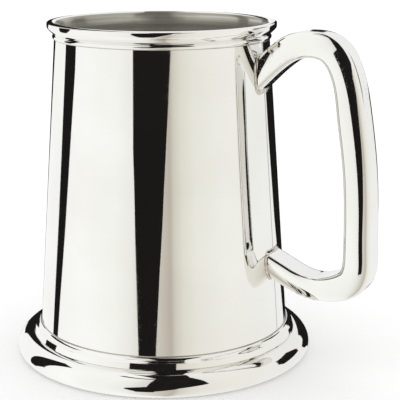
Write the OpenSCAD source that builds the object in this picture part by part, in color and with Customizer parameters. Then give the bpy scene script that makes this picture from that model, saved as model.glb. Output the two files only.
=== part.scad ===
// Lidless pewter tankard, about one pint: a tapered drum of sheet metal closed by a soldered seam,
// a disc for its base, a moulding round each end and a hollow cast handle.
// The table is z = 0, the drum's axis is Z, and the handle stands out along +X.

/* [Overall] */
// Height from the table to the crest of the lip
total_h = 122.5; // [120:0.5:135]

/* [Drum] */
// Outer radius of the drum at its lower edge
drum_bottom_r = 46.3; // [44:0.1:47]
// Outer radius of the drum at its upper edge
drum_top_r = 38.5; // [36:0.1:41]
// Thickness of the drum's sheet
drum_wall = 1.2; // [0.8:0.1:1.6]
// Height of the drum's lower edge above the table
drum_lift = 8; // [7:0.5:8.5]
// Width of the soldered seam behind the handle
seam_w = 0.6; // [0.4:0.1:1.2]

/* [Base] */
// Height of the base disc's underside above the table
base_lift = 9.4; // [9:0.2:11]
// Thickness of the base disc
base_t = 1.6; // [1:0.2:2.4]

/* [Lip] */
// Height of the flared lip above the drum's upper edge
lip_h = 4.5; // [4:0.1:6]
// How far the lip stands out past the drum
lip_reach = 2.6; // [2:0.05:3.2]
// Height of the lip's nearly upright outer band
lip_band_h = 1.3; // [0.8:0.1:1.6]
// Radius of the round bead under the lip
bead_r = 0.85; // [0.8:0.05:1.1]

/* [Foot] */
// Largest radius of the foot
foot_r = 54.8; // [54:0.2:58]
// Height of the foot's collar above the table
foot_h = 12; // [11.5:0.1:13]
// Height of the upright step between the collar's flare and the round rim
foot_step_h = 2; // [1.4:0.1:2.4]
// Thickness of the foot's shell
foot_wall = 1.9; // [1.4:0.1:2.4]

/* [Handle] */
// Width of the handle across its two flat cheeks
handle_w = 12.4; // [11:0.2:15]
// Radius of the two long edges on the finger side
handle_edge_r = 2.2; // [1.5:0.1:2.6]
// Radius of the two long edges on the back, which make it nearly half round
handle_back_r = 5.2; // [3:0.1:5.2]
// Thickness of the cast wall
handle_wall = 1.6; // [1.2:0.1:1.8]
// How far the whole grip is moved away from the drum
handle_shift = 0; // [-3:0.5:8]

/* [Hidden] */

ROUND_FN = 128;      // facets of every turned piece
CURVE_STEPS = 8;     // straight steps in one drawn curve
BEAD_STEP = 10;      // degrees between two points of the bead's outline
CORNER_STEPS = 6;    // steps round one edge of the handle
FLAT_STEPS = 4;      // steps across one broad face of the handle
PATH_STEPS = 4;      // rings for each stretch of the handle's path
solder_t = 0.3;      // thickness of a solder film between two turned pieces
solder_leg = 0.9;    // leg of the fillet of solder that shows outside a joint
crest_in = 2;        // how far the lip's crest lies inside its widest part
band_drop = 0.5;     // height of the crest above the lip's outer band
band_bulge = 0.05;   // how far the drawn band's curve is pulled outwards
band_pull = 0.4;     // how far each end of the band's curve keeps upright
notch_out = 0.3;     // how far the notch between lip and bead stands out past the drum
notch_up = 0.1;      // height of the notch above the drum's upper edge
notch_pull = 0.9;    // how far the underside runs straight up and out of the notch
underside_pull = 0.6; // how far the underside runs straight down from the band
crest_pull = 1.2;    // how far the crest's round runs level outwards
crest_ease = 0.3;    // how far it runs upright into the band
flare_pull = [1.4, 0.3]; // how far in and down the inner flare aims before it reaches the crest
bead_angle = 50;     // angle above and below level at which the bead's round ends
bead_sunk = -0.15;   // how far the bead's centre stands out past the drum's surface
collar_t = 0.25;     // thickness of the collar's upper edge
rim_in = 6.5;        // how far the flare's edge lies inside the foot's widest part
step_out = 0.6;      // how far the step leans out over its height
groove_t = 0.2;      // width and depth of the groove under the step
groove_lip = 0.1;    // how far the rim starts outside the step
collar_drop = 0.9;   // how far the collar's flare runs straight down first
flare_turn = [0.5, 0.4]; // how far in and up the flare aims before it reaches its edge
rim_rise = [2.8, 0.3];   // how far out and up the rim's top runs from the groove
rim_top_pull = 2.4;  // how far the rim's top runs upright into its widest part
rim_low_pull = 1.6;  // how far the rim's underside runs upright, and then level, to the table
rest_in = 2.6;       // how far the resting ring's outer edge lies inside the widest part
rest_w = 2.4;        // width of the ring that the foot rests on
rest_t = 1.1;        // thickness of that ring
inner_pull = 1.6;    // how far the shell's inside runs level from the resting ring
inner_low_pull = 1;  // how far it runs upright below its widest part
inner_top_pull = 2.2; // how far it runs upright above its widest part
grip_pull = [3, -2]; // how far out and down the inside aims before it reaches the drum
collar_grip = 0.4;   // height of the grip's lower edge above the drum's
clear = 0.03;        // air between the handle's faceted ends and what they are soldered to

drum_top = total_h - lip_h;
drum_slope = (drum_top_r - drum_bottom_r) / (drum_top - drum_lift);
bead_z = drum_top - bead_r;                        // height of the bead's centre
skirt_z = bead_z - bead_r * sin(bead_angle);       // lower edge of the lip moulding
collar_z = drum_lift + collar_grip;  // lower edge of the foot's grip on the drum
foot_flare_z = 10.4;                 // height at which the collar's flare turns down into the step
foot_widest_z = 2.8;                 // height at which the foot is widest

// Centreline of the handle from the upper joint to the lower one: reach from the drum's axis,
// height above the table, and half the thickness between the back and the finger side.
handle_path = [
    [39.2, 105.5, 4.2],
    [46.6, 112.6, 4.6],
    [51.7, 115.8, 4.6],
    [57.3, 116.8, 4.5],
    [64.4, 115.3, 4.6],
    [70.1, 106.9, 4.6],
    [72.9, 93.6, 4.9],
    [75.2, 77.4, 4.9],
    [76.3, 61.3, 4.9],
    [76.7, 46.2, 5],
    [74.7, 35.7, 5.2],
    [69.4, 32.5, 4.8],
    [59.1, 31.5, 4.1],
    [44.1, 38.3, 4]
];
path_last = len(handle_path) - 1;

// ---- Shared functions ----

// Outer radius of the drum at height z
function drum_r(z) = drum_bottom_r + drum_slope * (z - drum_lift);

// Point at t, from 0 to 1, on a cubic curve with end points a and d
function curve_at(a, b, c, d, t) =
    pow(1 - t, 3) * a + 3 * t * pow(1 - t, 2) * b + 3 * t * t * (1 - t) * c + t * t * t * d;

// The curve's points, without its first one
function curve(a, b, c, d) = [for (i = [1:CURVE_STEPS]) curve_at(a, b, c, d, i / CURVE_STEPS)];

// Point at t between b and c on a smooth path through a, b, c and d
function path_at(a, b, c, d, t) =
    (2 * b + (c - a) * t + (2 * a - 5 * b + 4 * c - d) * t * t + (3 * b - a - 3 * c + d) * t * t * t) / 2;

// ---- Drum and base ----

module drum_shell() {
    rotate_extrude($fn = ROUND_FN)
        polygon([
            [drum_bottom_r - drum_wall, drum_lift],
            [drum_bottom_r, drum_lift],
            [drum_top_r, drum_top],
            [drum_top_r - drum_wall, drum_top]
        ]);
}

module seam_slot() {
    translate([0, -seam_w / 2, 0])
        cube([foot_r, seam_w, total_h]);
}

module drum() {
    color("gainsboro")
        difference() {
            drum_shell();
            seam_slot();
        }
}

module drum_seam() {
    color("darkgray")
        intersection() {
            drum_shell();
            seam_slot();
        }
}

module base_disc() {
    base_top = base_lift + base_t;
    color("silver")
        rotate_extrude($fn = ROUND_FN)
            polygon([
                [0, base_lift],
                [drum_r(base_lift) - drum_wall, base_lift],
                [drum_r(base_top) - drum_wall, base_top],
                [0, base_top]
            ]);
}

module base_solder() {
    wall_r = drum_r(base_lift) - drum_wall;
    color("darkgray")
        rotate_extrude($fn = ROUND_FN)
            polygon([
                [wall_r - solder_leg, base_lift],
                [drum_r(base_lift - solder_leg) - drum_wall, base_lift - solder_leg],
                [wall_r, base_lift]
            ]);
}

// ---- Lip ----

module lip_moulding() {
    seat_r = drum_top_r - drum_wall;
    edge_r = drum_top_r + lip_reach;
    crest = [edge_r - crest_in, total_h];
    band_top = [edge_r, total_h - band_drop];
    band_low = band_top - [0, lip_band_h];
    notch = [drum_top_r + notch_out, drum_top + notch_up];
    inner_flare = curve([seat_r, drum_top], [seat_r, drum_top + lip_h / 2], crest - flare_pull, crest);
    crest_round = curve(crest, crest + [crest_pull, 0], band_top + [-band_bulge, crest_ease], band_top);
    band = curve(
        band_top, band_top + [band_bulge, -band_pull], band_low + [band_bulge, band_pull], band_low
    );
    underside = curve(
        band_low, band_low - [band_bulge, underside_pull], notch + [notch_pull, notch_pull], notch
    );
    bead = [
        for (a = [bead_angle:-BEAD_STEP:-bead_angle])
            [drum_r(bead_z) + bead_sunk + bead_r * cos(a), bead_z + bead_r * sin(a)]
    ];
    color("whitesmoke")
        rotate_extrude($fn = ROUND_FN)
            polygon(concat(
                [[seat_r, drum_top]],
                inner_flare,
                crest_round,
                band,
                underside,
                bead,
                [[drum_r(skirt_z) + solder_t, skirt_z], [drum_top_r + solder_t, drum_top]]
            ));
}

module lip_solder() {
    color("darkgray")
        rotate_extrude($fn = ROUND_FN)
            polygon([
                [drum_r(skirt_z - solder_t), skirt_z - solder_t],
                [drum_r(skirt_z) + solder_t, skirt_z],
                [drum_top_r + solder_t, drum_top],
                [drum_top_r, drum_top]
            ]);
}

// ---- Foot ----

module foot_moulding() {
    grip_low = [drum_r(collar_z) + solder_t, collar_z];
    grip_top = [drum_r(foot_h) + solder_t, foot_h];
    collar_top = grip_top + [collar_t, 0];
    flare_edge = [foot_r - rim_in, foot_flare_z];
    step_low = flare_edge + [step_out, -foot_step_h];
    groove = step_low - [groove_t, groove_t];
    rim_start = step_low + [groove_lip, -groove_t];
    widest = [foot_r, foot_widest_z];
    rest_outer = [foot_r - rest_in, 0];
    rest_inner = rest_outer - [rest_w, 0];
    inner_widest = widest - [foot_wall, 0];
    inner_rest = rest_inner + [0, rest_t];
    flare_aim = flare_edge + [-flare_turn[0], flare_turn[1]];
    flare = curve(collar_top, collar_top - [0, collar_drop], flare_aim, flare_edge);
    rim_top = curve(rim_start, rim_start + rim_rise, widest + [0, rim_top_pull], widest);
    rim_bottom = curve(widest, widest - [0, rim_low_pull], rest_outer + [rim_low_pull, 0], rest_outer);
    inner_turn = curve(
        inner_rest, inner_rest + [inner_pull, 0], inner_widest - [0, inner_low_pull], inner_widest
    );
    inner_rise = curve(
        inner_widest, inner_widest + [0, inner_top_pull], grip_low + grip_pull, grip_low
    );
    color("whitesmoke")
        rotate_extrude($fn = ROUND_FN)
            polygon(concat(
                [grip_top, collar_top],
                flare,
                [step_low, groove, rim_start],
                rim_top,
                rim_bottom,
                [rest_inner, inner_rest],
                inner_turn,
                inner_rise
            ));
}

module foot_solder() {
    top_z = foot_h + solder_t;
    color("darkgray")
        rotate_extrude($fn = ROUND_FN)
            polygon([
                [drum_r(collar_z), collar_z],
                [drum_r(collar_z) + solder_t, collar_z],
                [drum_r(foot_h) + solder_t, foot_h],
                [drum_r(top_z), top_z]
            ]);
}

// ---- Handle ----

// Outline of the handle cut across: [towards the back, sideways], anticlockwise.
// half_t is half its thickness, and grow makes the whole outline larger.
function section(half_t, grow) = let (
    t = half_t + grow,
    w = handle_w / 2 + grow,
    back_r = max(handle_back_r + grow, 0.5),
    finger_r = max(handle_edge_r + grow, 0.5),
    edge = function (x, y, r, turn) [
        for (i = [0:CORNER_STEPS])
            [x, y] + r * [cos(turn + 90 * i / CORNER_STEPS), sin(turn + 90 * i / CORNER_STEPS)]
    ],
    flat = function (x, from) [
        for (i = [1:FLAT_STEPS - 1]) [x, from * (1 - 2 * i / FLAT_STEPS)]
    ]
) concat(
    edge(t - back_r, w - back_r, back_r, 0),
    edge(finger_r - t, w - finger_r, finger_r, 90),
    flat(-t, w - finger_r),
    edge(finger_r - t, finger_r - w, finger_r, 180),
    edge(t - back_r, back_r - w, back_r, 270),
    flat(t, back_r - w)
);

// Places the point p of an outline square to the path at c, where the path runs along dir.
// The grip is moved out by handle_shift.
function placed(c, dir, p) = [
    c[0] + handle_shift - dir[1] * p[0],
    p[1],
    c[1] + dir[0] * p[0]
];

function unit(v) = v / norm(v);
function flat_dir(a, b) = unit([b[0] - a[0], b[1] - a[1]]);

// Slides point p along dir until it stands lift outside the drum's cone.
function onto_drum(p, dir, lift) = let (
    r = drum_r(p[2]) + lift,
    a = dir[0] * dir[0] - pow(drum_slope * dir[2], 2),
    b = 2 * (p[0] * dir[0] - r * drum_slope * dir[2]),
    c = p[0] * p[0] + p[1] * p[1] - r * r,
    root = sqrt(b * b - 4 * a * c),
    near = min(abs(-b + root), abs(-b - root)) / (2 * abs(a)),
    way = abs(-b + root) < abs(-b - root) ? sign((-b + root) / a) : sign((-b - root) / a)
) p + way * near * dir;

// A joint of the handle is given by the path's end point and the point next to it.
upper_joint = [handle_path[0], handle_path[1]];
lower_joint = [handle_path[path_last], handle_path[path_last - 1]];

// Ring of points where the handle, made larger by grow, meets the drum at a joint.
function joint_ring(joint, grow, lift) = let (
    out = flat_dir(joint[0], joint[1]),
    side = joint[0][1] > total_h / 2 ? 1 : -1
) [
    for (p = section(joint[0][2], grow))
        onto_drum(placed(joint[0], side * out, p), [out[0], 0, out[1]], lift)
];

// Ring of points at parameter u along the path, where u counts the path's points.
function path_ring(u, grow) = let (
    i = min(floor(u), path_last - 1),
    t = u - i,
    a = handle_path[max(i - 1, 0)],
    b = handle_path[i],
    c = handle_path[i + 1],
    d = handle_path[min(i + 2, path_last)],
    here = path_at(a, b, c, d, t),
    dir = flat_dir(path_at(a, b, c, d, t - 0.01), path_at(a, b, c, d, t + 0.01))
) [for (p = section(here[2], grow)) placed(here, dir, p)];

// Every ring of the handle's surface, made larger by grow.
function handle_rings(grow) = concat(
    [joint_ring(upper_joint, grow, clear)],
    [for (u = [1:1 / PATH_STEPS:path_last - 1 + 0.001]) path_ring(u, grow)],
    [joint_ring(lower_joint, grow, clear)]
);

function flatten(rows) = [for (row = rows) each row];

// Faces between consecutive rings of n points, from ring number first to ring number last.
function skin(first, last, n) = [
    for (ring = [first:last - 1], k = [0:n - 1]) let (
        a = ring * n + k,
        b = ring * n + (k + 1) % n
    ) each [[a, b, b + n], [a, b + n, a + n]]
];

function reversed(faces) = [for (f = faces) [f[2], f[1], f[0]]];

// Faces of the flat ring between ring number outer and ring number inner.
function end_faces(outer, inner, n) = [
    for (k = [0:n - 1]) let (
        next = (k + 1) % n
    ) each [
        [outer * n + k, inner * n + next, outer * n + next],
        [outer * n + k, inner * n + k, inner * n + next]
    ]
];

module handle() {
    outer = handle_rings(0);
    inner = handle_rings(-handle_wall);
    n = len(outer[0]);
    last = len(outer) - 1;
    color("gainsboro")
        polyhedron(
            points = concat(flatten(outer), flatten(inner)),
            faces = concat(
                skin(0, last, n),
                reversed(skin(last + 1, 2 * last + 1, n)),
                end_faces(0, last + 1, n),
                reversed(end_faces(last, 2 * last + 1, n))
            )
        );
}

// Fillet of solder round one joint: a three-sided ring on the drum and the handle's surface.
// neighbour is the handle's own ring next to the joint.
module joint_solder(joint, neighbour) {
    root = joint_ring(joint, clear, clear);
    toe = joint_ring(joint, solder_leg, clear);
    crown = [
        for (k = [0:len(root) - 1])
            root[k] + solder_leg * unit(neighbour[k] - root[k])
    ];
    n = len(root);
    upright = joint[0][1] > total_h / 2;
    faces = skin(0, 3, n);
    ring_faces = [for (f = faces) [for (v = f) v % (3 * n)]];
    color("darkgray")
        polyhedron(
            points = flatten([root, toe, crown]),
            faces = upright ? ring_faces : reversed(ring_faces)
        );
}

module handle_upper_solder() {
    joint_solder(upper_joint, path_ring(1, clear));
}

module handle_lower_solder() {
    joint_solder(lower_joint, path_ring(path_last - 1, clear));
}

drum();
drum_seam();
base_disc();
base_solder();
lip_moulding();
lip_solder();
foot_moulding();
foot_solder();
handle();
handle_upper_solder();
handle_lower_solder();
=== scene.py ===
"""Looks of a lidless pewter tankard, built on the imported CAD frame.

Every turned piece, the handle and the solder are rebuilt here as smooth meshes on the outlines of the
CAD solids, because polished metal shows each facet. Only the long edges of the handle's back are rounded
otherwise than in the CAD. Sizes are in millimetres until a mesh is made.
"""

import math

import bmesh
import bpy
import numpy as np
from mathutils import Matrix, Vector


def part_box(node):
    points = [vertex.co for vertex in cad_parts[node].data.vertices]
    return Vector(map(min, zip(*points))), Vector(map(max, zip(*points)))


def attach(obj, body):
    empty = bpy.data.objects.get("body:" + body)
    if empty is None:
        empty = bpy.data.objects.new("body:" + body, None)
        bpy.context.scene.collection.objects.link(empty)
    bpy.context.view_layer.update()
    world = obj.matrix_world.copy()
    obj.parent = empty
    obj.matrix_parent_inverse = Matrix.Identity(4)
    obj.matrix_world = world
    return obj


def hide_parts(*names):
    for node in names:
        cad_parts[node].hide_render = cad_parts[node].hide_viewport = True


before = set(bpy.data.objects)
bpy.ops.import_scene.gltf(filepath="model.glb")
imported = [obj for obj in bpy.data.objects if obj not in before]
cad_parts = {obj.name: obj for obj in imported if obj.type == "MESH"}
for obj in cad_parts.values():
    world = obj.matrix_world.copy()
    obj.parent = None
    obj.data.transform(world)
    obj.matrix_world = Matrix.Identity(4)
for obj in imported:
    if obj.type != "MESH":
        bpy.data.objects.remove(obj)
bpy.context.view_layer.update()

MM = 0.001  # metres in a millimetre


def heights(node):
    """Lowest and highest height of a CAD node, in millimetres."""
    low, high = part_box(node)
    return (low / MM).z, (high / MM).z


# ---- Sizes of the object ----

TOTAL_H = heights("lip_moulding")[1]
BASE_LIFT = heights("base_disc")[0]
DRUM_LIFT, DRUM_TOP = heights("drum")
DRUM_BOTTOM_R = 46.3
DRUM_TOP_R = 38.5
DRUM_WALL = 1.2
DRUM_SLOPE = (DRUM_TOP_R - DRUM_BOTTOM_R) / (DRUM_TOP - DRUM_LIFT)
SEAM_W = 0.6

LIP_REACH = 2.6
LIP_BAND_H = 1.3
CREST_IN = 2             # how far the lip's crest lies inside its widest part
CREST_PULL = 1.2         # how far the crest's round runs level outwards
CREST_EASE = 0.3         # how far it runs upright into the band
FLARE_PULL = (1.4, 0.3)  # how far in and down the inner flare aims before it reaches the crest
BAND_DROP = 0.5          # height of the crest above the lip's outer band
BAND_BULGE = 0.05        # how far the drawn band's curve is pulled outwards
BAND_PULL = 0.4          # how far each end of the band's curve keeps upright
NOTCH_OUT = 0.3          # how far the notch between lip and bead stands out past the drum
NOTCH_UP = 0.1           # height of the notch above the drum's upper edge
NOTCH_PULL = 0.9         # how far the underside runs straight up and out of the notch
UNDERSIDE_PULL = 0.6     # how far the underside runs straight down from the band
LIP_SATIN_Z = TOTAL_H - BAND_DROP  # the inside of the lip is satin up to this height
BEAD_R = 0.85
BEAD_ANGLE = 50          # angle above and below level at which the bead's round ends
BEAD_SUNK = -0.15        # how far the bead's centre stands out past the drum's surface
BEAD_Z = DRUM_TOP - BEAD_R
SKIRT_Z = BEAD_Z - BEAD_R * math.sin(math.radians(BEAD_ANGLE))  # lower edge of the lip moulding

FOOT_R = 54.8
FOOT_H = 12
FOOT_WALL = 1.9
FOOT_FLARE_Z = 10.4      # height at which the collar's flare turns down into the step
FOOT_STEP_H = 2
FOOT_WIDEST_Z = 2.8      # height at which the foot is widest
COLLAR_Z = DRUM_LIFT + 0.4  # lower edge of the foot's grip on the drum
COLLAR_T = 0.25          # thickness of the collar's upper edge
COLLAR_DROP = 0.9        # how far the collar's flare runs straight down first
FLARE_TURN = (-0.5, 0.4)  # how far in and up the flare aims before it reaches its edge
RIM_IN = 6.5             # how far the flare's edge lies inside the foot's widest part
STEP_OUT = 0.6           # how far the step leans out over its height
GROOVE_T = 0.2           # width and depth of the groove under the step
GROOVE_LIP = 0.1         # how far the rim starts outside the step
RIM_RISE = (2.8, 0.3)    # how far out and up the rim's top runs from the groove
RIM_TOP_PULL = 2.4       # how far the rim's top runs upright into its widest part
RIM_LOW_PULL = 1.6       # how far the rim's underside runs upright, and then level, to the table
REST_IN = 2.6            # how far the resting ring's outer edge lies inside the widest part
REST_W = 2.4             # width of the ring that the foot rests on
REST_T = 1.1             # thickness of that ring
INNER_PULL = 1.6         # how far the shell's inside runs level from the resting ring
INNER_LOW_PULL = 1       # how far it runs upright below its widest part
INNER_TOP_PULL = 2.2     # how far it runs upright above its widest part
GRIP_PULL = (3, -2)      # how far out and down the inside aims before it reaches the drum

SOLDER_T = 0.3           # thickness of a solder film between two turned pieces
SOLDER_LEG = 0.9         # leg of the fillet of solder that shows outside a joint
FILLET_ALONG = 0.35      # how far along its leg the base fillet aims, measured from the corner
FILLET_OUT = 0.15        # and how far out from the leg
FILLET_ROOT = 0.7        # how strongly a handle joint's fillet is drawn into its corner
FILLET_END = 0.15        # and towards each of its edges

HANDLE_W = 12.4
HANDLE_WALL = 1.6
HANDLE_EDGE_R = 2.2      # rounding of the two edges on the finger side
HANDLE_BACK_DEPTH = 5.8  # how far the rounding of the handle's back reaches towards the fingers
HANDLE_BACK_WIDTH = 2.6  # and how far it reaches in from each side
CLEAR = 0.03             # air between the handle's ends and what they are soldered to
PATH_TRIM = 0.5          # the handle begins and ends this share of a span inside its path

# Centreline of the handle: reach from the axis, height and half the thickness. It is the CAD's, with one
# point 0.1 mm further in, so that the smoother curve stays inside the CAD's box.
HANDLE_PATH = [
    (39.2, 105.5, 4.2), (46.6, 112.6, 4.6), (51.7, 115.8, 4.6), (57.3, 116.8, 4.5), (64.4, 115.3, 4.6),
    (70.1, 106.9, 4.6), (72.9, 93.6, 4.9), (75.2, 77.4, 4.9), (76.3, 61.3, 4.9), (76.6, 46.2, 5),
    (74.7, 35.7, 5.2), (69.4, 32.5, 4.8), (59.1, 31.5, 4.1), (44.1, 38.3, 4),
]

# ---- Fineness of the meshes ----

SEGMENTS = 256     # round steps of a turned piece
CURVE_STEPS = 24   # steps in one drawn curve
DRUM_LEVELS = 48   # points up each side of the drum's wall
SEAM_STEPS = 2     # steps across the seam
CORNER_STEPS = 16  # steps round one edge of the handle
FLAT_STEPS = 6     # steps across one broad face of the handle
PATH_STEPS = 14    # rings for each stretch of the handle's path
FILLET_STEPS = 6   # steps across a handle joint's fillet
SHARP = math.radians(32)


# ---- Outlines ----

def drum_r(z):
    """Outer radius of the drum at height z."""
    return DRUM_BOTTOM_R + DRUM_SLOPE * (z - DRUM_LIFT)


def curve(a, b, c, d):
    """Points of a cubic curve from a to d, without a."""
    a, b, c, d = (np.array(p, float) for p in (a, b, c, d))
    steps = [i / CURVE_STEPS for i in range(1, CURVE_STEPS + 1)]
    return [
        (1 - t) ** 3 * a + 3 * t * (1 - t) ** 2 * b + 3 * t * t * (1 - t) * c + t ** 3 * d
        for t in steps
    ]


def lip_outline():
    """Closed outline of the lip with its bead: inner flare, crest, band, underside, bead and seat."""
    seat_r = DRUM_TOP_R - DRUM_WALL
    edge_r = DRUM_TOP_R + LIP_REACH
    middle_z = (DRUM_TOP + TOTAL_H) / 2
    crest = np.array([edge_r - CREST_IN, TOTAL_H])
    band_top = np.array([edge_r, TOTAL_H - BAND_DROP])
    band_low = band_top - (0, LIP_BAND_H)
    notch = np.array([DRUM_TOP_R + NOTCH_OUT, DRUM_TOP + NOTCH_UP])
    flare = curve((seat_r, DRUM_TOP), (seat_r, middle_z), crest - FLARE_PULL, crest)
    crest_round = curve(crest, crest + (CREST_PULL, 0), band_top + (-BAND_BULGE, CREST_EASE), band_top)
    band = curve(band_top, band_top + (BAND_BULGE, -BAND_PULL),
                 band_low + (BAND_BULGE, BAND_PULL), band_low)
    underside = curve(band_low, band_low - (BAND_BULGE, UNDERSIDE_PULL),
                      notch + (NOTCH_PULL, NOTCH_PULL), notch)
    bead_r = drum_r(BEAD_Z) + BEAD_SUNK
    angles = np.radians(np.linspace(BEAD_ANGLE, -BEAD_ANGLE, CURVE_STEPS))
    bead = [(bead_r + BEAD_R * math.cos(a), BEAD_Z + BEAD_R * math.sin(a)) for a in angles]
    seat = [(drum_r(SKIRT_Z) + SOLDER_T, SKIRT_Z), (DRUM_TOP_R + SOLDER_T, DRUM_TOP)]
    return [(seat_r, DRUM_TOP), *flare, *crest_round, *band, *underside, *bead, *seat]


def foot_outline():
    """Closed outline of the foot's shell: collar, step, groove, rim, resting ring and inside."""
    grip_low = np.array([drum_r(COLLAR_Z) + SOLDER_T, COLLAR_Z])
    grip_top = np.array([drum_r(FOOT_H) + SOLDER_T, FOOT_H])
    collar_top = grip_top + (COLLAR_T, 0)
    flare_edge = np.array([FOOT_R - RIM_IN, FOOT_FLARE_Z])
    step_low = flare_edge + (STEP_OUT, -FOOT_STEP_H)
    groove = step_low - (GROOVE_T, GROOVE_T)
    rim_start = step_low + (GROOVE_LIP, -GROOVE_T)
    widest = np.array([FOOT_R, FOOT_WIDEST_Z])
    rest_outer = np.array([FOOT_R - REST_IN, 0])
    rest_inner = rest_outer - (REST_W, 0)
    inner_rest = rest_inner + (0, REST_T)
    inner_widest = widest - (FOOT_WALL, 0)
    flare = curve(collar_top, collar_top - (0, COLLAR_DROP), flare_edge + FLARE_TURN, flare_edge)
    rim_top = curve(rim_start, rim_start + RIM_RISE, widest + (0, RIM_TOP_PULL), widest)
    rim_bottom = curve(widest, widest - (0, RIM_LOW_PULL), rest_outer + (RIM_LOW_PULL, 0), rest_outer)
    inner_turn = curve(inner_rest, inner_rest + (INNER_PULL, 0),
                       inner_widest - (0, INNER_LOW_PULL), inner_widest)
    inner_rise = curve(inner_widest, inner_widest + (0, INNER_TOP_PULL), grip_low + GRIP_PULL, grip_low)
    return [grip_top, collar_top, *flare, step_low, groove, rim_start, *rim_top, *rim_bottom,
            rest_inner, inner_rest, *inner_turn, *inner_rise]


def lip_solder_outline():
    """Film of solder between the drum and the lip, with its lower edge showing."""
    low_z = SKIRT_Z - SOLDER_T
    return [(drum_r(low_z), low_z), (drum_r(SKIRT_Z) + SOLDER_T, SKIRT_Z),
            (DRUM_TOP_R + SOLDER_T, DRUM_TOP), (DRUM_TOP_R, DRUM_TOP)]


def foot_solder_outline():
    """Film of solder between the drum and the foot, with its upper edge showing."""
    top_z = FOOT_H + SOLDER_T
    return [(drum_r(COLLAR_Z), COLLAR_Z), (drum_r(COLLAR_Z) + SOLDER_T, COLLAR_Z),
            (drum_r(FOOT_H) + SOLDER_T, FOOT_H), (drum_r(top_z), top_z)]


def base_solder_outline():
    """Hollow fillet of solder in the corner under the base disc."""
    wall_r = drum_r(BASE_LIFT) - DRUM_WALL
    low_z = BASE_LIFT - SOLDER_LEG
    toe_r = drum_r(low_z) - DRUM_WALL
    edge = (wall_r - SOLDER_LEG, BASE_LIFT)
    fillet = curve(edge, (wall_r - FILLET_ALONG, BASE_LIFT - FILLET_OUT),
                   (toe_r - FILLET_OUT, low_z + FILLET_ALONG), (toe_r, low_z))
    return [edge, *fillet, (wall_r, BASE_LIFT)]


# ---- Meshes ----

def finished(name, bm, material_names):
    """Object made from bm, whose points are in millimetres, with smooth faces and sharp corners."""
    bmesh.ops.scale(bm, vec=(MM, MM, MM), verts=bm.verts)
    bmesh.ops.recalc_face_normals(bm, faces=bm.faces)
    mesh = bpy.data.meshes.new(name)
    bm.to_mesh(mesh)
    bm.free()
    mesh.polygons.foreach_set("use_smooth", [True] * len(mesh.polygons))
    mesh.set_sharp_from_angle(angle=SHARP)
    for material_name in material_names:
        mesh.materials.append(bpy.data.materials[material_name])
    obj = bpy.data.objects.new(name, mesh)
    bpy.context.scene.collection.objects.link(obj)
    return obj


def skin(bm, rings, closed_along=False):
    """Faces between consecutive closed rings of points, and the rows of vertices made for them."""
    rows = [[bm.verts.new(p) for p in ring] for ring in rings]
    count = len(rows[0])
    last = len(rows) if closed_along else len(rows) - 1
    for i in range(last):
        low, high = rows[i], rows[(i + 1) % len(rows)]
        for k in range(count):
            n = (k + 1) % count
            bm.faces.new((low[k], low[n], high[n], high[k]))
    return rows


def turned(name, outline, material_names):
    """The closed outline of (radius, height) points turned once round Z."""
    angles = [2 * math.pi * k / SEGMENTS for k in range(SEGMENTS)]
    rings = [[(r * math.cos(a), r * math.sin(a), z) for a in angles] for r, z in outline]
    bm = bmesh.new()
    skin(bm, rings, closed_along=True)
    return finished(name, bm, material_names)


def drum_sector(name, start, end, steps, material_names):
    """Part of the drum's wall between two angles given by start(r) and end(r)."""
    bm = bmesh.new()
    slices = []
    outline = [(drum_r(z) - DRUM_WALL, z) for z in np.linspace(DRUM_LIFT, DRUM_TOP, DRUM_LEVELS)]
    outline += [(drum_r(z), z) for z in np.linspace(DRUM_TOP, DRUM_LIFT, DRUM_LEVELS)]
    for i in range(steps + 1):
        ring = []
        for r, z in outline:
            a = start(r) + (end(r) - start(r)) * i / steps
            ring.append((r * math.cos(a), r * math.sin(a), z))
        slices.append(ring)
    rows = skin(bm, slices)
    last = len(outline) - 1
    for row in (rows[0], rows[-1]):
        for i in range(DRUM_LEVELS - 1):
            bm.faces.new((row[i], row[i + 1], row[last - 1 - i], row[last - i]))
    return finished(name, bm, material_names)


# ---- Handle ----

def section(half_t, grow):
    """Outline of the handle cut across, as (towards the back, sideways) points."""
    t = half_t + grow
    w = HANDLE_W / 2 + grow
    edge_r = HANDLE_EDGE_R + grow
    back = (HANDLE_BACK_DEPTH + grow, HANDLE_BACK_WIDTH + grow)
    finger = (edge_r, edge_r)
    corners = [(1, 1, back), (-1, 1, finger), (-1, -1, finger), (1, -1, back)]
    points = []
    for turn, (x, y, (deep, wide)) in enumerate(corners):
        for i in range(CORNER_STEPS + 1):
            a = math.radians(90 * (turn + i / CORNER_STEPS))
            points.append((x * (t - deep) + deep * math.cos(a), y * (w - wide) + wide * math.sin(a)))
        if turn in (1, 3):
            side = y * (w - wide)
            points += [(x * t, side * (1 - 2 * i / FLAT_STEPS)) for i in range(1, FLAT_STEPS)]
    return points


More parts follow.
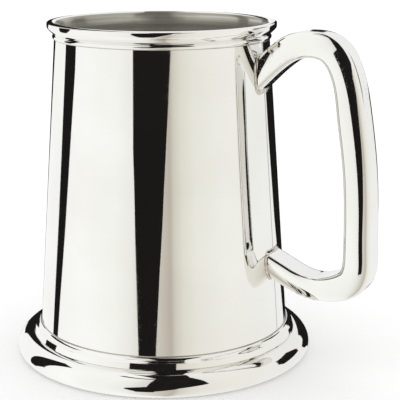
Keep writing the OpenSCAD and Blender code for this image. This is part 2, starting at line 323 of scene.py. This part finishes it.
def spline(points):
    """Rows of (point, direction) on the smooth curve through the points, whose bending never jumps."""
    p = np.array(points, float)
    s = np.concatenate([[0], np.cumsum(np.linalg.norm(np.diff(p[:, :2], axis=0), axis=1))])
    h = np.diff(s)
    n = len(p)
    matrix = np.eye(n)
    right = np.zeros_like(p)
    for i in range(1, n - 1):
        matrix[i, i - 1:i + 2] = h[i - 1], 2 * (h[i - 1] + h[i]), h[i]
        right[i] = 6 * ((p[i + 1] - p[i]) / h[i] - (p[i] - p[i - 1]) / h[i - 1])
    bend = np.linalg.solve(matrix, right)
    rows = []
    rounding = 1e-9  # lets the last step in
    for u in np.arange(PATH_TRIM, n - 1 - PATH_TRIM + rounding, 1 / PATH_STEPS):
        i = min(int(u), n - 2)
        x = (u - i) * h[i]
        y = h[i] - x
        value = (bend[i] * y ** 3 + bend[i + 1] * x ** 3) / (6 * h[i])
        value += (p[i] / h[i] - bend[i] * h[i] / 6) * y + (p[i + 1] / h[i] - bend[i + 1] * h[i] / 6) * x
        slope = (bend[i + 1] * x ** 2 - bend[i] * y ** 2) / (2 * h[i])
        slope += (p[i + 1] - p[i]) / h[i] - (bend[i + 1] - bend[i]) * h[i] / 6
        rows.append((value, slope[:2] / np.linalg.norm(slope[:2])))
    return rows


def ring_at(row, grow):
    """Ring of points round the handle at one row of its path, made larger by grow."""
    (reach, height, half_t), (dx, dz) = row
    return [np.array([reach - dz * a, b, height + dx * a]) for a, b in section(half_t, grow)]


def onto_drum(p, way, lift):
    """The point p slid along way, by a quadratic's smaller root, until it is lift outside the drum."""
    r = drum_r(p[2]) + lift
    a = way[0] ** 2 - (DRUM_SLOPE * way[2]) ** 2
    b = 2 * (p[0] * way[0] - r * DRUM_SLOPE * way[2])
    c = p[0] ** 2 + p[1] ** 2 - r ** 2
    reach = math.sqrt(b * b - 4 * a * c)
    return p + way * min((-b + reach) / (2 * a), (-b - reach) / (2 * a), key=abs)


def joint_ring(row, grow):
    """The handle's ring at a row slid along the path onto the drum."""
    way = np.array([row[1][0], 0, row[1][1]])
    return [onto_drum(p, way, CLEAR) for p in ring_at(row, grow)]


def handle_mesh(name, rows, material_names):
    """Hollow handle: an outer and an inner skin, joined round both open ends at the drum."""
    bm = bmesh.new()
    skins = []
    for grow in (0, -HANDLE_WALL):
        rings = [joint_ring(rows[0], grow)]
        rings += [ring_at(row, grow) for row in rows]
        rings.append(joint_ring(rows[-1], grow))
        skins.append(skin(bm, rings))
    for end in (0, -1):
        outer, inner = skins[0][end], skins[1][end]
        for k in range(len(outer)):
            n = (k + 1) % len(outer)
            bm.faces.new((outer[k], outer[n], inner[n], inner[k]))
    return finished(name, bm, material_names)


def joint_solder(name, row, neighbour, material_names):
    """Hollow fillet of solder between the drum and the handle round one joint."""
    root = joint_ring(row, CLEAR)
    toe = joint_ring(row, SOLDER_LEG)
    beside = ring_at(neighbour, CLEAR)
    crown = [r + SOLDER_LEG * (b - r) / np.linalg.norm(b - r) for r, b in zip(root, beside)]
    rings = [root]
    for i in range(FILLET_STEPS + 1):
        t = i / FILLET_STEPS
        ring = []
        for a, r, b in zip(toe, root, crown):
            corner = FILLET_ROOT * r + FILLET_END * a + FILLET_END * b
            ring.append((1 - t) ** 2 * a + 2 * t * (1 - t) * corner + t * t * b)
        rings.append(ring)
    bm = bmesh.new()
    skin(bm, rings, closed_along=True)
    return finished(name, bm, material_names)


# ---- Materials ----

class Nodes:
    """Short way to build a node tree."""

    def __init__(self, tree):
        self.tree = tree

    def feed(self, socket, value):
        """Link the socket to another node's output, or else set it to the value."""
        if isinstance(value, bpy.types.NodeSocket):
            self.tree.links.new(value, socket)
        else:
            socket.default_value = value

    def add(self, kind, settings=(), **inputs):
        """New node with its settings, and with inputs named as on the node, _ for a space."""
        node = self.tree.nodes.new(kind)
        for key, value in dict(settings).items():
            setattr(node, key, value)
        for key, value in inputs.items():
            self.feed(node.inputs[key.replace("_", " ")], value)
        return node

    def calculate(self, operation, *values):
        """Result of one Math node."""
        node = self.add("ShaderNodeMath", {"operation": operation})
        for socket, value in zip(node.inputs, values):
            self.feed(socket, value)
        return node.outputs["Value"]


class Finish(Nodes):
    """One material, with the patterns that the metals share."""

    def __init__(self, name, **constants):
        self.material = bpy.data.materials.new(name)
        self.material.use_nodes = True
        super().__init__(self.material.node_tree)
        self.shader = self.tree.nodes["Principled BSDF"]
        for key, value in constants.items():
            self.shader.inputs[key.replace("_", " ")].default_value = value

    def link(self, output, name):
        self.tree.links.new(output, self.shader.inputs[name])

    def place(self, stretch):
        """Object coordinates scaled along X, Y and Z."""
        coordinates = self.add("ShaderNodeTexCoord").outputs["Object"]
        return self.add("ShaderNodeMapping", Vector=coordinates, Scale=stretch).outputs["Vector"]

    def noise(self, scale, stretch=(1, 1, 1), detail=3.0, roughness=0.5, distortion=0.0):
        return self.add("ShaderNodeTexNoise", Vector=self.place(stretch), Scale=scale, Detail=detail,
                        Roughness=roughness, Distortion=distortion).outputs["Fac"]

    def spread(self, value, low, high, to_low=0, to_high=1):
        """The value stretched from low..high to to_low..to_high and held there."""
        node = self.add("ShaderNodeMapRange", {"clamp": True}, Value=value)
        names = ("From Min", "From Max", "To Min", "To Max")
        for name, number in zip(names, (low, high, to_low, to_high)):
            node.inputs[name].default_value = number
        return node.outputs["Result"]

    def mix(self, factor, first, second):
        """Colour between first and second."""
        node = self.add("ShaderNodeMix", {"data_type": "RGBA"})
        sockets = {"Factor_Float": factor, "A_Color": first, "B_Color": second}
        for socket in node.inputs:
            if socket.identifier in sockets:
                self.feed(socket, sockets[socket.identifier])
        return next(s for s in node.outputs if s.identifier == "Result_Color")

    def bump(self, height, strength, distance, **under):
        """Normal bent by the height, on top of the Normal given under it."""
        node = self.add("ShaderNodeBump", Height=height, Strength=strength, Distance=distance, **under)
        return node.outputs["Normal"]


PEWTER_BRIGHT = (0.90, 0.89, 0.87, 1)
PEWTER_WORN = (0.86, 0.845, 0.815, 1)
INSIDE_BRIGHT = (0.66, 0.645, 0.585, 1)
INSIDE_WORN = (0.50, 0.485, 0.425, 1)
INSIDE_LINE = (0.29, 0.275, 0.225, 1)
BASE_BRIGHT = (0.56, 0.55, 0.51, 1)
BASE_WORN = (0.42, 0.41, 0.37, 1)
SOLDER_BRIGHT = (0.66, 0.62, 0.56, 1)
SOLDER_TARNISHED = (0.46, 0.39, 0.31, 1)
JOINT_BRIGHT = (0.80, 0.77, 0.72, 1)
JOINT_TARNISHED = (0.40, 0.33, 0.26, 1)
SOLDER_GLOSS = 0.12      # roughness of the brightest solder
JOINT_GLOSS = 0.06       # and of the solder round the handle's joints
ROUND_AXIS = (0.03, 0.03, 1)    # stretches a pattern round the drum
ALONG_GRIP = (1, 1, 0.05)       # stretches a pattern up and down the grip
INSIDE_LINES = (12, 12, 1400)   # squeezes a pattern into fine lines round the axis
FLATTENED = (1, 1, 0)           # makes a pattern the same at every height


def polished_pewter(name, lines, pitted):
    """Hand-polished pewter: near-mirror, with wiping marks that run along lines and a few pits."""
    m = Finish(name, Metallic=1.0)
    tone = m.spread(m.noise(30, detail=4), 0.35, 0.65)
    m.link(m.mix(tone, PEWTER_BRIGHT, PEWTER_WORN), "Base Color")
    smear = m.noise(45, detail=5, distortion=0.6)
    hairs = m.noise(900, lines, detail=2)
    smear_gloss = m.spread(smear, 0.35, 0.7, to_low=0.02, to_high=0.055)
    hair_gloss = m.spread(hairs, 0.6, 0.8, to_high=0.05)
    m.link(m.calculate("ADD", smear_gloss, hair_gloss), "Roughness")
    waves = m.bump(m.noise(28, detail=1), strength=0.03, distance=0.002)
    brushed = m.bump(hairs, strength=0.01, distance=0.0002, Normal=waves)
    dots = m.spread(m.noise(2200, detail=1), 0.68, 0.76)
    patches = m.spread(m.noise(24, detail=2), 0.5, 0.62)
    pits = m.calculate("MULTIPLY", m.calculate("MULTIPLY", dots, patches), -pitted)
    m.link(m.bump(pits, strength=0.2, distance=0.0001, Normal=brushed), "Normal")


def satin_pewter(name):
    """Brushed, slightly darkened pewter of the inside, with fine lines round the axis."""
    m = Finish(name, Metallic=0.6, Anisotropic=0.9, Anisotropic_Rotation=0.25)
    lines = m.noise(1, INSIDE_LINES, detail=4, roughness=0.65)
    clouds = m.noise(35, detail=5, roughness=0.6)
    worn = m.mix(m.spread(clouds, 0.3, 0.7), INSIDE_BRIGHT, INSIDE_WORN)
    m.link(m.mix(m.spread(lines, 0.4, 0.6, to_high=0.75), worn, INSIDE_LINE), "Base Color")
    line_gloss = m.spread(lines, 0.3, 0.7, to_low=0.15, to_high=0.25)
    cloud_gloss = m.spread(clouds, 0.3, 0.7, to_high=0.06)
    m.link(m.calculate("ADD", line_gloss, cloud_gloss), "Roughness")
    tangent = m.add("ShaderNodeTangent", {"direction_type": "RADIAL", "axis": "Z"})
    m.link(tangent.outputs["Tangent"], "Tangent")
    m.link(m.bump(lines, strength=0.25, distance=0.0001), "Normal")


def base_pewter(name):
    """Base disc: satin pewter with the rings left by turning."""
    m = Finish(name, Metallic=1.0)
    radius = m.add("ShaderNodeVectorMath", {"operation": "LENGTH"})
    m.feed(radius.inputs[0], m.place(FLATTENED))
    rings = m.add("ShaderNodeTexNoise", {"noise_dimensions": "1D"}, W=radius.outputs["Value"],
                  Scale=1600.0, Detail=3.0).outputs["Fac"]
    clouds = m.noise(40, detail=5, roughness=0.6)
    m.link(m.mix(m.spread(clouds, 0.3, 0.7), BASE_BRIGHT, BASE_WORN), "Base Color")
    m.link(m.spread(rings, 0.3, 0.7, to_low=0.26, to_high=0.4), "Roughness")
    m.link(m.bump(rings, strength=0.3, distance=0.0001), "Normal")


def solder_metal(name, bright, tarnished, gloss):
    """Solder, polished with the pewter beside it, with a brown tarnish that is left in its hollows."""
    m = Finish(name, Metallic=1.0)
    spots = m.noise(500, detail=5, roughness=0.65)
    m.link(m.mix(m.spread(spots, 0.35, 0.7), bright, tarnished), "Base Color")
    m.link(m.spread(spots, 0.3, 0.7, to_low=gloss, to_high=gloss + 0.12), "Roughness")
    m.link(m.bump(spots, strength=0.3, distance=0.0002), "Normal")


polished_pewter("pewter_turned", ROUND_AXIS, 0.1)
polished_pewter("pewter_handle", ALONG_GRIP, 1.0)
satin_pewter("pewter_inside")
base_pewter("pewter_base")
solder_metal("solder", SOLDER_BRIGHT, SOLDER_TARNISHED, SOLDER_GLOSS)
solder_metal("solder_polished", JOINT_BRIGHT, JOINT_TARNISHED, JOINT_GLOSS)


# ---- The object ----

def replace(obj, node):
    """obj stands for the CAD node, which is hidden, and hangs from the root body."""
    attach(obj, "root")
    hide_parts(node)


def satin_inside(obj, below):
    """Give the faces that look at the axis, up to a height, the object's second material."""
    for face in obj.data.polygons:
        outward = face.center.x * face.normal.x + face.center.y * face.normal.y
        if outward < 0 and face.center.z < below * MM:
            face.material_index = 1


def seam_right(r):
    """Angle of the seam's edge on the right of +X, seen from outside."""
    return math.asin(SEAM_W / 2 / r)


def seam_left(r):
    """Angle of the seam's edge on the left of +X, seen from outside."""
    return -seam_right(r)


def seam_left_again(r):
    """The seam's left edge, reached the long way round the drum."""
    return 2 * math.pi - seam_right(r)


def build_drum():
    metals = ["pewter_turned", "pewter_inside"]
    drum = drum_sector("drum_sheet", seam_right, seam_left_again, SEGMENTS, metals)
    satin_inside(drum, TOTAL_H)
    replace(drum, "drum")
    seam = drum_sector("seam_strip", seam_left, seam_right, SEAM_STEPS, ["solder"])
    replace(seam, "drum_seam")


def build_turned():
    lip = turned("lip", lip_outline(), ["pewter_turned", "pewter_inside"])
    satin_inside(lip, LIP_SATIN_Z)
    replace(lip, "lip_moulding")
    replace(turned("foot", foot_outline(), ["pewter_turned"]), "foot_moulding")
    replace(turned("lip_joint", lip_solder_outline(), ["solder"]), "lip_solder")
    replace(turned("foot_joint", foot_solder_outline(), ["solder"]), "foot_solder")
    replace(turned("base_joint", base_solder_outline(), ["solder"]), "base_solder")


def build_handle():
    rows = spline(HANDLE_PATH)
    joints = [("upper_joint", "handle_upper_solder", rows[0], rows[1]),
              ("lower_joint", "handle_lower_solder", rows[-1], rows[-2])]
    replace(handle_mesh("grip", rows, ["pewter_handle"]), "handle")
    for name, node, row, neighbour in joints:
        replace(joint_solder(name, row, neighbour, ["solder_polished"]), node)


def finish_base():
    """The base disc keeps its CAD mesh and gets its own material."""
    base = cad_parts["base_disc"]
    base.data.materials.clear()
    base.data.materials.append(bpy.data.materials["pewter_base"])


# ---- Studio ----

CAMERA_TURN = math.radians(25)  # the camera stands this far from -Y towards +X
CAMERA_TILT = 13.98             # degrees that it looks down
CAMERA_SIDE = 0.01359           # how far the camera stands to the right of facing the axis
CAMERA_BACK = 0.43              # its distance from the axis, along its view
CAMERA_Z = 0.16318
CAMERA_LENS = 107.42
CAMERA_SENSOR = 36
CAMERA_NEAR = 0.01

CARD_DISTANCE = 1.0             # radius of the curved cards round the axis
CARD_MIDDLE_Z = 0.06            # height from which the cards' elevations are measured
CARD_STEPS = 12                 # steps across a curved card
CARD_COLOUR = (0.012, 0.011, 0.010)
CARD_GLOW = 1.0
OVERHEAD_TURN = math.radians(16)  # azimuth of the level card over the pot
OVERHEAD_HALF_W = 0.23
OVERHEAD_FRONT = 0.52           # how far it reaches past the axis towards that azimuth
OVERHEAD_BACK = 0.3             # and away from it
OVERHEAD_Z = 1.5
FLOOR_HALF = 3.0
FLOOR_COLOUR = (1.0, 1.0, 1.0)
MATT_ROUGHNESS = 0.9
BACKDROP_STRENGTH = 1.1         # the white world, as the camera and matt surfaces see it
SHEETS_STRENGTH = 1.06          # the tinted white sheets, as reflections show them

# Gaps between the white sheets round the pot, as rows of (elevation, left azimuth, right azimuth) in
# degrees. Azimuths are measured from the camera's side, positive to the camera's right.
GAPS = {
    "gap_beside_camera": [
        (-22, -20, -7), (-15, -21, -5.5), (-10, -23.5, -2), (-6, -25, 1.5), (-2, -27, 4.5),
        (4, -28, 10), (10, -26, 12), (24, -12, 36), (72, -12, 44),
    ],
    "gap_left": [
        (-22, -121, -114), (-15.5, -119.5, -109), (-11, -118, -105), (-6, -117.5, -102),
        (0, -117, -98), (45, -117, -98),
    ],
    "gap_far_left": [
        (-22, -172, -165), (-12, -172, -160), (-4, -172, -152), (0, -172, -148), (45, -172, -152),
    ],
    "gap_right_back": [
        (-24, 158, 172), (-12.5, 138, 172), (-6, 134, 172), (0, 133, 172), (1.5, 136, 172),
        (4, 142, 172), (15, 150, 172),
    ],
    "gap_right": [(3, 102, 126), (12, 98, 128), (26, 104, 124)],
    "gap_overhead": [(68, -75, 45), (72, -75, 45)],
}

# Colour of the white sheets round the pot: (azimuth in degrees, colour).
SHEETS = [
    (-180, (0.93, 0.94, 0.93)),
    (-120, (0.97, 0.98, 0.98)),
    (-80, (1.00, 1.01, 1.00)),
    (-45, (0.97, 0.985, 0.965)),
    (-30, (0.90, 0.91, 0.88)),
    (8, (0.52, 0.48, 0.41)),
    (12, (0.67, 0.645, 0.575)),
    (20, (0.78, 0.765, 0.70)),
    (32, (0.85, 0.85, 0.79)),
    (60, (0.90, 0.90, 0.86)),
    (120, (0.90, 0.91, 0.90)),
    (180, (0.86, 0.875, 0.885)),
]


def card_black():
    """Material of the dark cards, which shows only its own faint glow."""
    m = Finish("card_black", Base_Color=(0, 0, 0, 1), Roughness=MATT_ROUGHNESS, Specular_IOR_Level=0,
               Emission_Color=(*CARD_COLOUR, 1), Emission_Strength=CARD_GLOW)
    return m.material


def only_reflected(name, mesh, material):
    """Staged object that shows in reflections and nowhere else."""
    mesh.materials.append(material)
    obj = bpy.data.objects.new(name, mesh)
    bpy.context.scene.collection.objects.link(obj)
    obj.visible_camera = False
    obj.visible_diffuse = False
    obj.visible_shadow = False


def card_through(name, lines, material):
    """Card whose surface runs through consecutive lines of points."""
    bm = bmesh.new()
    rows = [[bm.verts.new(p) for p in line] for line in lines]
    for low, high in zip(rows, rows[1:]):
        for i in range(len(low) - 1):
            bm.faces.new((low[i], low[i + 1], high[i + 1], high[i]))
    mesh = bpy.data.meshes.new(name)
    bm.to_mesh(mesh)
    bm.free()
    only_reflected(name, mesh, material)


def around(azimuth, z):
    """Point of the curved cards at an azimuth from the camera's side."""
    a = CAMERA_TURN + math.radians(azimuth)
    return CARD_DISTANCE * math.sin(a), -CARD_DISTANCE * math.cos(a), z


def curved_card(name, rows, material):
    """Curved upright card through rows of (elevation, left azimuth, right azimuth)."""
    lines = []
    for elevation, left, right in rows:
        z = CARD_MIDDLE_Z + CARD_DISTANCE * math.tan(math.radians(elevation))
        azimuths = [left + (right - left) * i / CARD_STEPS for i in range(CARD_STEPS + 1)]
        lines.append([around(azimuth, z) for azimuth in azimuths])
    card_through(name, lines, material)


def overhead_card(material):
    """Level card over the pot, which carries the gap beside the camera across the top."""
    turn = CAMERA_TURN + OVERHEAD_TURN
    ahead = np.array([math.sin(turn), -math.cos(turn), 0])
    aside = np.array([math.cos(turn), math.sin(turn), 0])
    lines = []
    for distance in (-OVERHEAD_BACK, OVERHEAD_FRONT):
        middle = ahead * distance
        lines.append([middle + aside * OVERHEAD_HALF_W * side + (0, 0, OVERHEAD_Z) for side in (-1, 1)])
    card_through("overhead", lines, material)


def build_world():
    """White, but in reflections sheets whose tone depends on the direction."""
    world = bpy.data.worlds.new("studio")
    world.use_nodes = True
    nodes = Nodes(world.node_tree)
    direction = nodes.add("ShaderNodeTexCoord").outputs["Generated"]
    from_camera = nodes.add("ShaderNodeVectorRotate", {"rotation_type": "Z_AXIS"}, Vector=direction,
                            Angle=-CAMERA_TURN)
    split = nodes.add("ShaderNodeSeparateXYZ", Vector=from_camera.outputs["Vector"])
    towards_camera = nodes.calculate("MULTIPLY", split.outputs["Y"], -1)
    azimuth = nodes.calculate("ARCTAN2", split.outputs["X"], towards_camera)
    share_of_turn = nodes.calculate("MULTIPLY_ADD", azimuth, 1 / (2 * math.pi), 0.5)
    ramp = nodes.add("ShaderNodeValToRGB", Fac=share_of_turn)
    stops = ramp.color_ramp.elements
    while len(stops) < len(SHEETS):
        stops.new(0.5)
    for stop, (angle, colour) in zip(stops, SHEETS):
        stop.position = angle / 360 + 0.5
        stop.color = (*colour, 1)
    sheets = world.node_tree.nodes["Background"]
    nodes.feed(sheets.inputs["Color"], ramp.outputs["Color"])
    nodes.feed(sheets.inputs["Strength"], SHEETS_STRENGTH)
    backdrop = nodes.add("ShaderNodeBackground", Color=(1, 1, 1, 1), Strength=BACKDROP_STRENGTH)
    in_reflection = nodes.add("ShaderNodeLightPath").outputs["Is Glossy Ray"]
    choose = nodes.add("ShaderNodeMixShader", Fac=in_reflection)
    nodes.feed(choose.inputs[1], backdrop.outputs["Background"])
    nodes.feed(choose.inputs[2], sheets.outputs["Background"])
    nodes.feed(world.node_tree.nodes["World Output"].inputs["Surface"], choose.outputs["Shader"])
    bpy.context.scene.world = world


def build_floor():
    corners = [(x * FLOOR_HALF, y * FLOOR_HALF, 0) for x, y in ((-1, -1), (1, -1), (1, 1), (-1, 1))]
    mesh = bpy.data.meshes.new("floor")
    mesh.from_pydata(corners, [], [(0, 1, 2, 3)])
    white = Finish("floor_white", Base_Color=(*FLOOR_COLOUR, 1), Roughness=MATT_ROUGHNESS)
    mesh.materials.append(white.material)
    floor = bpy.data.objects.new("floor", mesh)
    bpy.context.scene.collection.objects.link(floor)
    floor.visible_glossy = False


def build_studio():
    dark = card_black()
    for name, rows in GAPS.items():
        curved_card(name, rows, dark)
    overhead_card(dark)
    build_floor()
    build_world()


def build_camera():
    data = bpy.data.cameras.new("camera")
    data.sensor_width = CAMERA_SENSOR
    data.lens = CAMERA_LENS
    data.clip_start = CAMERA_NEAR
    camera = bpy.data.objects.new("camera", data)
    bpy.context.scene.collection.objects.link(camera)
    c = math.cos(CAMERA_TURN)
    s = math.sin(CAMERA_TURN)
    camera.location = (CAMERA_SIDE * c + CAMERA_BACK * s, CAMERA_SIDE * s - CAMERA_BACK * c, CAMERA_Z)
    camera.rotation_euler = (math.radians(90 - CAMERA_TILT), 0, CAMERA_TURN)
    bpy.context.scene.camera = camera


build_drum()
build_turned()
build_handle()
finish_base()
build_studio()
build_camera()
bpy.context.scene.view_settings.view_transform = "Standard"
